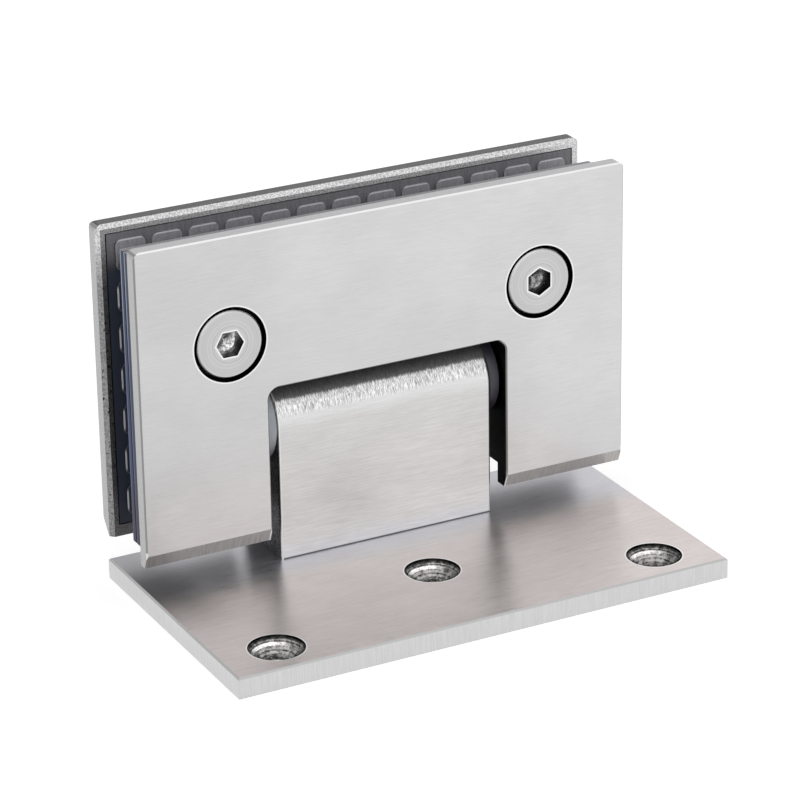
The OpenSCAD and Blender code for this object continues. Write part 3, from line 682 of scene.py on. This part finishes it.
dress(plate_steel(), "wall_plate")
dress(block_steel(), "pivot_block")
dress(clamp_steel(), "front_clamp", "back_clamp")
dress(turned_steel("screw_steel_left", "clamp_screw_left", turn=30, foot_highlight_tone=1.0), "clamp_screw_left")
dress(turned_steel("screw_steel_right", "clamp_screw_right", turn=0, foot_highlight_tone=0.4), "clamp_screw_right")
dress(plain_steel("pin_steel", level=0.55, rough=0.25), "pivot_pin")
dress(
    plain_steel("inner_steel", level=0.45, rough=0.4),
    "block_screws", "detent_plunger_left", "detent_plunger_right", "pin_screw_left", "pin_screw_right",
)
for side in ("left", "right"):
    make_coil(side, plain_steel("spring_steel_" + side, level=0.4, rough=0.35))
dress(
    gasket_rubber(),
    "front_gasket", "spare_gasket", "spare_gasket_2", "spare_gasket_3", "back_gasket",
)
# Painted light: one washer plastic, a lit copy on the left washer and a shaded copy on the right
dress(plastic("washer_plastic", WASHER_LIT, rough=0.35), "washer_left")
dress(plastic("washer_plastic_shaded", WASHER_SHADED, rough=0.4), "washer_right")
dress(
    plastic("bearing_plastic", BEARING_CREAM, rough=0.4),
    "bush_left", "bush_right", "screw_sleeve_left", "screw_sleeve_right",
)


# Floor, light and camera


def seen_directly(tree):
    """1 for the eye, in reflections and through glass, and 0 for the light on the object."""
    path = put(tree, "LightPath")
    seen = calc(tree, "MAXIMUM", path.outputs["Is Camera Ray"], path.outputs["Is Glossy Ray"])
    return calc(tree, "MAXIMUM", seen, path.outputs["Is Transmission Ray"])


def make_floor():
    """A pale floor that looks white and keeps the hinge's shadow."""
    bpy.ops.mesh.primitive_plane_add(size=2 * FLOOR_HALF, location=(0.0, 0.0, -0.05 * MM))
    floor = bpy.context.object
    floor.name = "floor"
    material = bpy.data.materials.new("floor_white")
    material.use_nodes = True
    tree = material.node_tree
    shader = tree.nodes["Principled BSDF"]
    shader.inputs["Base Color"].default_value = grey(FLOOR_GREY)
    shader.inputs["Emission Color"].default_value = grey(1.0)
    feed(tree, shader.inputs["Emission Strength"], times(tree, seen_directly(tree), FLOOR_GLOW))
    shader.inputs["Roughness"].default_value = 0.9
    shader.inputs["Specular IOR Level"].default_value = 0.0
    floor.data.materials.append(material)


def make_world():
    """White to the eye and in reflections, softer as a light."""
    world = bpy.data.worlds.new("studio")
    bpy.context.scene.world = world
    world.use_nodes = True
    tree = world.node_tree
    tree.nodes.clear()
    strength = mix_value(tree, seen_directly(tree), WORLD_LIGHT, WORLD_WHITE)
    background = put(tree, "Background", Color=grey(1.0), Strength=strength)
    output = put(tree, "OutputWorld")
    tree.links.new(background.outputs[0], output.inputs[0])


def direction(azimuth, elevation):
    """Unit vector out of the hinge: azimuth in degrees from the front, elevation above the floor."""
    turn, rise = math.radians(azimuth), math.radians(elevation)
    return Vector((math.sin(turn) * math.cos(rise), -math.cos(turn) * math.cos(rise), math.sin(rise)))


def soft_light(name, azimuth, elevation, power):
    """A square softbox that faces the middle of the hinge."""
    out = direction(azimuth, elevation)
    light = bpy.data.lights.new(name, "AREA")
    light.size = LAMP_SIZE
    light.energy = power
    lamp = bpy.data.objects.new(name, light)
    lamp.location = LAMP_TARGET + out * LAMP_DISTANCE
    lamp.rotation_euler = out.to_track_quat("Z", "Y").to_euler()
    bpy.context.collection.objects.link(lamp)


def make_camera():
    """The photograph's view: azimuth, elevation and roll in degrees, distances in metres."""
    azimuth, elevation, roll = -27.32, 22.57, -0.94
    distance = 0.5827
    target = Vector((-2.4, -17.33, 32.44)) * MM
    focal_pixels, frame_pixels = 3558.6, 800
    back = direction(azimuth, elevation)
    level = Vector((0.0, 0.0, 1.0)).cross(back).normalized()
    upright = back.cross(level)
    lean = math.radians(roll)
    right = math.cos(lean) * level + math.sin(lean) * upright
    up = math.cos(lean) * upright - math.sin(lean) * level
    camera = bpy.data.cameras.new("camera")
    camera.sensor_fit = "HORIZONTAL"
    camera.lens = camera.sensor_width * focal_pixels / frame_pixels
    camera.clip_start = 0.01
    eye = bpy.data.objects.new("camera", camera)
    axes = Matrix((right, up, back)).transposed().to_4x4()
    eye.matrix_world = Matrix.Translation(target + back * distance) @ axes
    bpy.context.collection.objects.link(eye)
    bpy.context.scene.camera = eye


make_floor()
make_world()
soft_light("key_light", azimuth=-55, elevation=50, power=5.0)
soft_light("fill_light", azimuth=50, elevation=35, power=4.0)
make_camera()

bpy.context.scene.view_settings.view_transform = "Standard"
